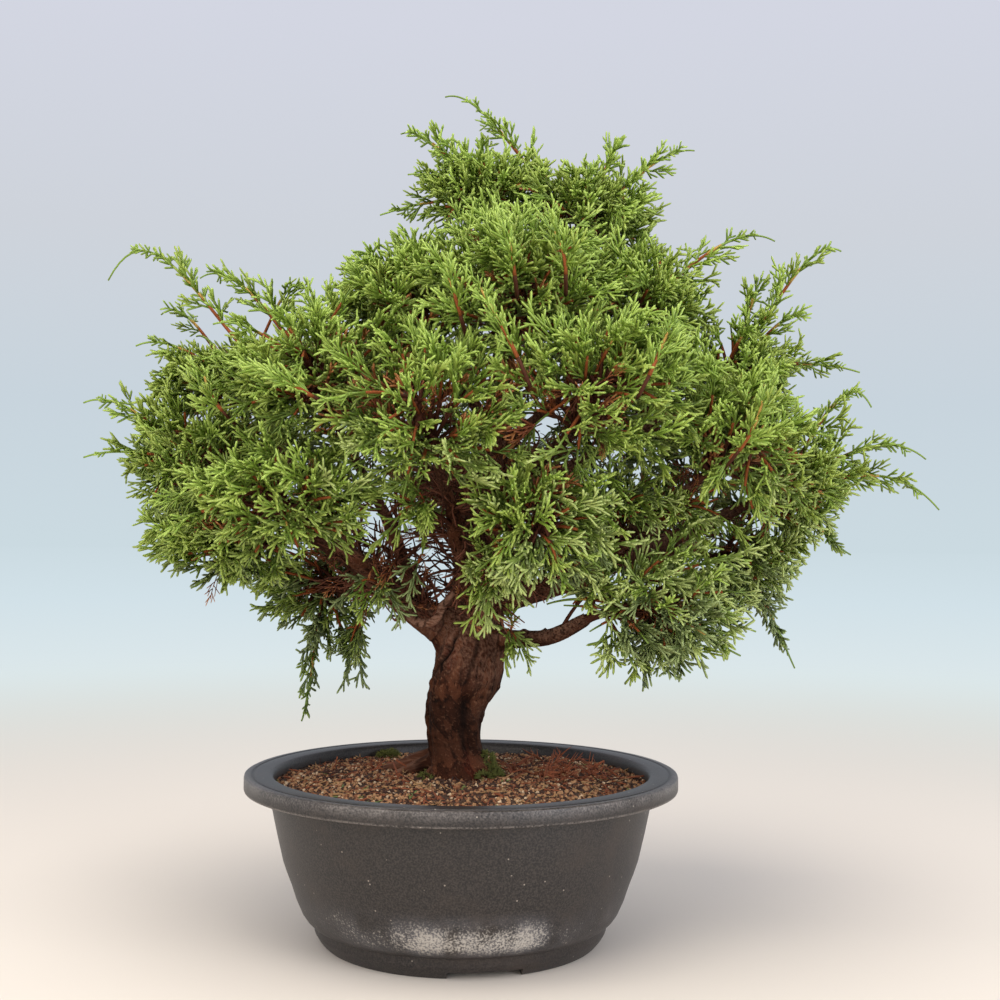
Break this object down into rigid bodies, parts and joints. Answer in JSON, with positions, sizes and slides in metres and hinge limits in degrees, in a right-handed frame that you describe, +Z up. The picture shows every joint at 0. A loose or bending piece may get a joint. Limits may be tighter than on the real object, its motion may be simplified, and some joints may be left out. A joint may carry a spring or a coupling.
{
  "type": "juniper bonsai in training pot",
  "caption": "Itoigawa Chinese juniper bonsai: short curved trunk, spreading tapering boughs and dense masses of fan-shaped sprays, rooted in soil in a round plastic training pot.",
  "frame": {"origin": "centre of the plant's footprint box on the surface that the pot stands on", "axes": "+Z up; -Y towards the viewer of the crown's front; +X to the right, where the longest boughs reach"},
  "size_m": [0.5914, 0.3708, 0.5873],
  "materials": {
    "pot": "matte, weathered",
    "soil": "granular",
    "bark": "smooth flaking bark",
    "foliage": "matt scale leaves"
  },
  "bodies": {
    "root": {"bough_back_left": "bark", "bough_back_low": "bark", "bough_back_right": "bark", "bough_back_right_low": "bark", "bough_crown_right": "bark", "bough_front": "bark", "bough_front_low": "bark", "bough_left": "bark", "bough_left_back": "bark", "bough_left_front": "bark", "bough_left_hanging": "bark", "bough_left_high": "bark", "bough_left_low": "bark", "bough_left_skirt": "bark", "bough_right": "bark", "bough_right_back": "bark", "bough_right_front": "bark", "bough_right_hanging": "bark", "bough_right_high": "bark", "bough_right_low": "bark", "bough_right_mid": "bark", "bough_shoulder_back": "bark", "bough_shoulder_front": "bark", "bough_shoulder_left": "bark", "bough_shoulder_right": "bark", "foliage_apex": "foliage", "foliage_back_left": "foliage", "foliage_back_low": "foliage", "foliage_back_right": "foliage", "foliage_back_right_low": "foliage", "foliage_crown_right": "foliage", "foliage_front": "foliage", "foliage_front_low": "foliage", "foliage_left_back": "foliage", "foliage_left_far": "foliage", "foliage_left_front": "foliage", "foliage_left_hanging": "foliage", "foliage_left_high": "foliage", "foliage_left_low": "foliage", "foliage_left_skirt": "foliage", "foliage_right_back": "foliage", "foliage_right_far": "foliage", "foliage_right_front": "foliage", "foliage_right_hanging": "foliage", "foliage_right_high": "foliage", "foliage_right_low": "foliage", "foliage_right_mid": "foliage", "foliage_shoulder_back": "foliage", "foliage_shoulder_front": "foliage", "foliage_shoulder_left": "foliage", "foliage_shoulder_right": "foliage", "pot": "pot", "soil": "soil", "trunk": "bark"}
  },
  "joints": []
}
